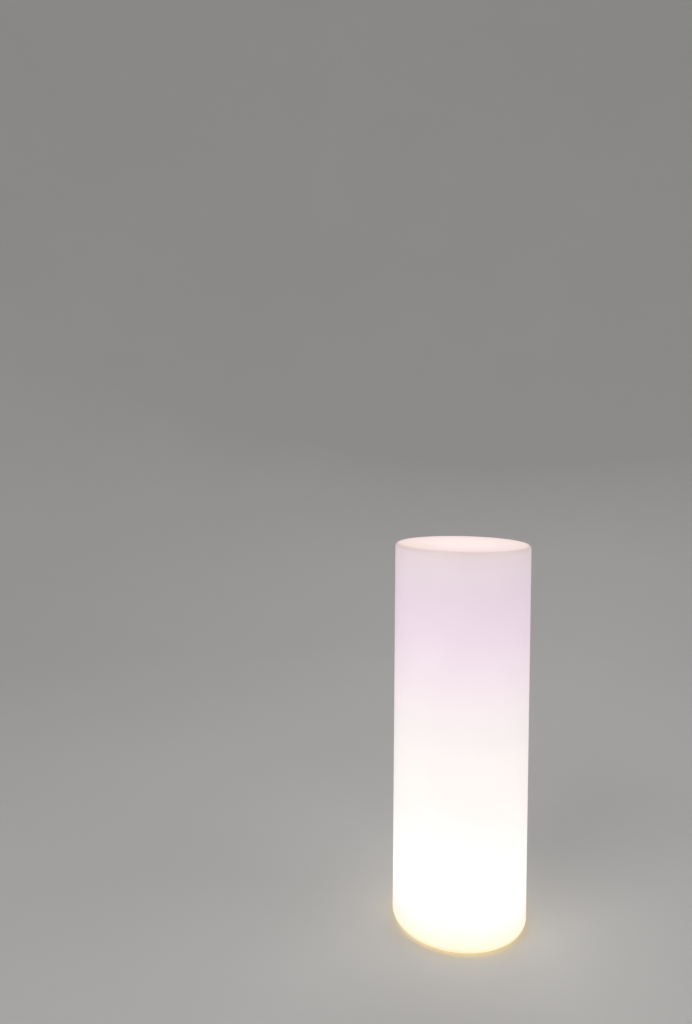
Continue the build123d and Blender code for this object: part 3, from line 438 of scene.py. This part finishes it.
def nickel_strip():
    """Nickel strip, with the dimples of its spot welds."""
    material, tree, shader, place = start("nickel_strip")
    welds = add_node(
        tree, "ShaderNodeTexVoronoi", {"feature": "F1"}, Vector=place, Scale=300.0, Randomness=0.2,
    )
    dimple = grey_ramp(tree, welds.outputs["Distance"], 0.25, 0.32)
    base = mix(tree, dimple, (0.42, 0.40, 0.36), (0.70, 0.68, 0.63))
    rough = grey_ramp(tree, noise(tree, place, 500.0), 0.3, 0.7, 0.30, 0.44)
    finish_with(tree, shader, Base_Color=base, Roughness=rough, Normal=bump(tree, dimple, 0.00015))
    shader.inputs["Metallic"].default_value = 1.0
    return material


def capacitor_can():
    """Capacitors: bright cans in a dark sleeve that stops at the rim."""
    material, tree, shader, place = start("capacitor_can")
    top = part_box("capacitors")[1].z
    parts = add_node(tree, "ShaderNodeSeparateXYZ", Vector=place)
    bare = grey_ramp(tree, parts.outputs["Z"], top - 0.0006, top - 0.0004)
    scratches = noise(tree, stretched(tree, place, (1500.0, 200.0, 200.0)), 1.0, 3.0)
    base = mix(tree, bare, (0.05, 0.06, 0.08), (0.78, 0.78, 0.80))
    rough = grey_ramp(tree, scratches, 0.3, 0.7, 0.26, 0.40)
    relief = bump(tree, scratches, 0.00001)
    finish_with(tree, shader, Base_Color=base, Metallic=bare, Roughness=rough, Normal=relief)
    return material


def clear_acrylic():
    """The indicator's light pipe."""
    material, tree, shader, place = start("clear_acrylic")
    flow = noise(tree, place, 300.0, 2.0)
    rough = grey_ramp(tree, flow, 0.3, 0.7, 0.04, 0.12)
    tint = mix(tree, grey_ramp(tree, flow, 0.3, 0.7), (0.92, 0.96, 0.96), (0.98, 1.0, 1.0))
    finish_with(tree, shader, Base_Color=tint, Roughness=rough, Normal=bump(tree, flow, 0.00004))
    shader.inputs["Transmission Weight"].default_value = 0.9
    shader.inputs["IOR"].default_value = 1.49
    return material


def sheath(name, colour):
    """A cable's sheath: soft sheen, and the faint twist of the cores inside."""
    material, tree, shader, place = start(name)
    twist = noise(tree, stretched(tree, place, (500.0, 500.0, 900.0)), 1.0, 2.0)
    base = mix(tree, grey_ramp(tree, twist, 0.3, 0.7), *shades(colour, 0.12))
    finish_with(tree, shader, Base_Color=base, Normal=bump(tree, twist, 0.00003))
    shader.inputs["Roughness"].default_value = 0.45
    return material


def studio_paint():
    """The pale studio floor."""
    material, tree, shader, place = start("studio_paint")
    patches = grey_ramp(tree, noise(tree, place, 0.8, 4.0), 0.3, 0.7)
    base = mix(tree, patches, *shades(studio_colour, 0.012))
    finish_with(tree, shader, Base_Color=base, Normal=bump(tree, noise(tree, place, 350.0, 3.0), 0.0002))
    shader.inputs["Roughness"].default_value = 0.75
    return material


# ---- Meshes ----


def arc(centre_r, centre_z, radius, first_angle, last_angle, steps):
    """Points of an arc in the radius and height plane, angles in degrees."""
    turn = (last_angle - first_angle) / steps
    angles = [radians(first_angle + turn * step) for step in range(steps + 1)]
    return [(centre_r + radius * cos(angle), centre_z + radius * sin(angle)) for angle in angles]


def straight(first, last, steps):
    """Points between two corners, without the corners."""
    return [
        (first[0] + (last[0] - first[0]) * step / steps, first[1] + (last[1] - first[1]) * step / steps)
        for step in range(1, steps)
    ]


def placed(name, made):
    """The finished mesh as a smooth object in the scene."""
    bmesh.ops.recalc_face_normals(made, faces=made.faces)
    for face in made.faces:
        face.smooth = True
    mesh = bpy.data.meshes.new(name)
    made.to_mesh(mesh)
    made.free()
    piece = bpy.data.objects.new(name, mesh)
    bpy.context.scene.collection.objects.link(piece)
    return piece


def lathe(name, outline, segments):
    """A mesh turned about the Z axis. Points on the axis are shared by all segments."""
    made = bmesh.new()
    rings = []
    for radius, height in outline:
        if radius < 1e-7:
            rings.append([made.verts.new((0, 0, height))] * segments)
        else:
            rings.append([
                made.verts.new((
                    radius * cos(2 * pi * step / segments), radius * sin(2 * pi * step / segments), height,
                ))
                for step in range(segments)
            ])
    for upper, lower in zip(rings, rings[1:]):
        for step in range(segments):
            after = (step + 1) % segments
            corners = [upper[step], lower[step], lower[after], upper[after]]
            corners = list(dict.fromkeys(corners))
            if len(corners) > 2:
                made.faces.new(corners)
    return placed(name, made)


def shell_outline():
    """The shell's section, from the middle of its top down the outside and back up the inside."""
    outside = [(0.0, lamp_top)] + straight((0.0, lamp_top), (lamp_radius - top_round, lamp_top), 12)
    outside += arc(lamp_radius - top_round, lamp_top - top_round, top_round, 90, 0, 10)
    outside += straight((lamp_radius, lamp_top - top_round), (lamp_radius, shell_base + bottom_round), 32)
    outside += arc(lamp_radius - bottom_round, shell_base + bottom_round, bottom_round, 0, -90, 12)
    outside += arc(recess_radius + recess_round, shell_base + recess_round, recess_round, 270, 180, 4)
    recess = [
        (recess_radius, recess_ceiling),
        (opening_radius, recess_ceiling),
        (opening_radius, recess_ceiling + wall),
    ]
    inside = arc(
        recess_radius + wall - recess_round, recess_ceiling + wall - recess_round, recess_round, 90, 0, 4,
    )
    inside += [(recess_radius + wall, shell_base + wall)]
    inside += arc(lamp_radius - bottom_round, shell_base + bottom_round, bottom_round - wall, 270, 360, 8)
    inside += arc(lamp_radius - top_round, lamp_top - top_round, top_round - wall, 0, 90, 6)
    return outside + recess + inside + [(0.0, lamp_top - wall)]


def coil_spring(name, low, high):
    """A round wire wound about the middle of its box, from the box's bottom to its top."""
    middle_x = (low.x + high.x) / 2
    middle_y = (low.y + high.y) / 2
    coil_radius = (high.x - low.x) / 2 - spring_wire_radius
    rise = high.z - low.z - 2 * spring_wire_radius
    turns = rise / spring_pitch
    steps = round(turns * spring_steps)
    made = bmesh.new()
    rings = []
    for step in range(steps + 1):
        turn = 2 * pi * turns * step / steps
        wire_z = low.z + spring_wire_radius + rise * step / steps
        ring = []
        for side in range(spring_sides):
            around = 2 * pi * side / spring_sides
            reach = coil_radius + spring_wire_radius * cos(around)
            x = middle_x + reach * cos(turn)
            y = middle_y + reach * sin(turn)
            ring.append(made.verts.new((x, y, wire_z + spring_wire_radius * sin(around))))
        rings.append(ring)
    for before, after in zip(rings, rings[1:]):
        for side in range(spring_sides):
            beside = (side + 1) % spring_sides
            made.faces.new((before[side], before[beside], after[beside], after[side]))
    made.faces.new(rings[0])
    made.faces.new(rings[-1])
    return placed(name, made)


def studio_outline():
    """The studio's floor, the curve up from it, and its wall."""
    floor = [(0.0, 0.0)] + straight((0.0, 0.0), (studio_radius - studio_curve, 0.0), 8)
    curve = arc(studio_radius - studio_curve, studio_curve, studio_curve, -90, 0, 24)
    return floor + curve + [(studio_radius, studio_height)]


# ---- The object ----

shell = lathe("lit_shell", shell_outline(), shell_segments)
shell.data.materials.append(lit_polyethylene())
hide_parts("diffuser_shell")
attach(shell, "lamp_body")

black_rubber = rubber("black_rubber", (0.022, 0.022, 0.022))
seal_rubber = rubber("seal_rubber", (0.035, 0.035, 0.038), 0.85)
black_plastic = moulded("black_plastic", (0.035, 0.035, 0.038), 0.46)
inner_plastic = moulded("inner_plastic", (0.06, 0.06, 0.065), 0.52, tooth_scale=1200.0)
white_plastic = moulded("white_plastic", (0.74, 0.74, 0.72), 0.42, spread=0.03)
package_black = moulded("package_black", (0.02, 0.02, 0.021), 0.55, tooth=0.00001, tooth_scale=4000.0)
package_white = moulded("package_white", (0.86, 0.86, 0.83), 0.35, tooth=0.00001, spread=0.02)
nylon = moulded("ivory_nylon", (0.76, 0.72, 0.60), 0.38, tooth=0.00001)
zinc = metal("zinc_steel", (0.66, 0.66, 0.67))
spring_steel = metal("spring_steel", (0.72, 0.72, 0.73), 0.24)
brass = metal("brass", (0.80, 0.60, 0.26), 0.28, tarnish=(0.50, 0.36, 0.16))
nickel_plate = metal("nickel_plate", (0.74, 0.72, 0.68), 0.20)
shield_can = metal("shield_can", (0.74, 0.74, 0.73), 0.30, grain=(60.0, 900.0, 900.0))
green_board = circuit_board("green_board", (0.010, 0.115, 0.045), (0.035, 0.22, 0.09))

finishes = {
    black_plastic: ("lock_ring", "vent_plug"),
    zinc: (
        "ring_screws", "guide_screws", "control_board_screws", "cradle_screws", "clamp_screws",
        "protection_board_screws", "led_board_screws", "head_screws",
    ),
    brass: ("threaded_inserts",),
    seal_rubber: ("ring_gasket", "unit_seal", "heat_plate_seal", "dome_seal", "cable_grommet"),
    white_plastic: ("unit_base",),
    clear_acrylic(): ("indicator_pipe",),
    inner_plastic: ("button_guide", "battery_cradle", "battery_clamp", "dome_clamp_ring"),
    green_board: ("control_board", "protection_board"),
    package_black: ("button_switches", "controller_chip", "board_chokes", "power_transistors"),
    package_white: ("indicator_led", "led_packages"),
    shield_can: ("radio_module",),
    capacitor_can(): ("capacitors",),
    nylon: ("board_connectors",),
    cell_sleeve(): ("battery_cells",),
    nickel_strip(): ("nickel_strips",),
    nickel_plate: ("dc_jack", "jack_nut"),
    spring_steel: ("door_pin",),
    turned_metal("turned_aluminium", (0.60, 0.61, 0.62)): ("heat_plate",),
    led_board_white(): ("led_board",),
    phosphor(): ("led_windows",),
    opal_dome(): ("light_dome",),
    sheath("black_sheath", (0.02, 0.02, 0.02)): ("battery_lead", "charge_lead", "supply_lead"),
    sheath("grey_sheath", (0.11, 0.11, 0.115)): ("led_cable",),
    rubber("grey_silicone", (0.34, 0.34, 0.35), 0.6): ("power_button", "mode_button"),
    black_rubber: ("charge_door", *(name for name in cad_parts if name.startswith("foot_"))),
}
for finish, names in finishes.items():
    for name in names:
        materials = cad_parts[name].data.materials
        materials.clear()
        materials.append(finish)

# each button's spring as a round wire coil in its part's box; on the lamp its lower end moves with its
# button, and its upper end stays on the guide plate
for button in ("power_button", "mode_button"):
    low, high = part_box(f"{button}_spring")
    coil = coil_spring(f"{button}_coil", low, high)
    coil.data.materials.append(spring_steel)
    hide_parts(f"{button}_spring")
    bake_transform(coil)

# ---- The studio ----

studio = lathe("studio", studio_outline(), studio_segments)
studio.data.materials.append(studio_paint())

world = bpy.data.worlds.new("studio_air")
world.use_nodes = True
air = world.node_tree.nodes["Background"]
air.inputs["Color"].default_value = (*air_colour, 1)
air.inputs["Strength"].default_value = air_strength
bpy.context.scene.world = world


def softbox(name, place, aim, watts):
    """A square soft light at a place, turned to face aim."""
    light = bpy.data.lights.new(name, "AREA")
    light.size = softbox_size
    light.energy = watts
    box = bpy.data.objects.new(name, light)
    toward = Vector(aim) - Vector(place)
    box.location = place
    box.rotation_euler = toward.to_track_quat("-Z", "Y").to_euler()
    bpy.context.scene.collection.objects.link(box)


middle = (0.0, 0.0, lamp_top / 2)
for light_name, (light_place, watts) in softboxes.items():
    softbox(light_name, light_place, middle, watts)

camera_data = bpy.data.cameras.new("camera")
camera_data.lens = camera_lens
camera_data.shift_y = camera_shift_up
camera = bpy.data.objects.new("camera", camera_data)
camera.matrix_world = (
    Matrix.Translation(camera_place)
    @ Matrix.Rotation(pi / 2 - camera_pitch, 4, "X")
    @ Matrix.Rotation(camera_roll, 4, "Z")
)
bpy.context.scene.collection.objects.link(camera)
bpy.context.scene.camera = camera
bpy.context.scene.view_settings.view_transform = "Standard"
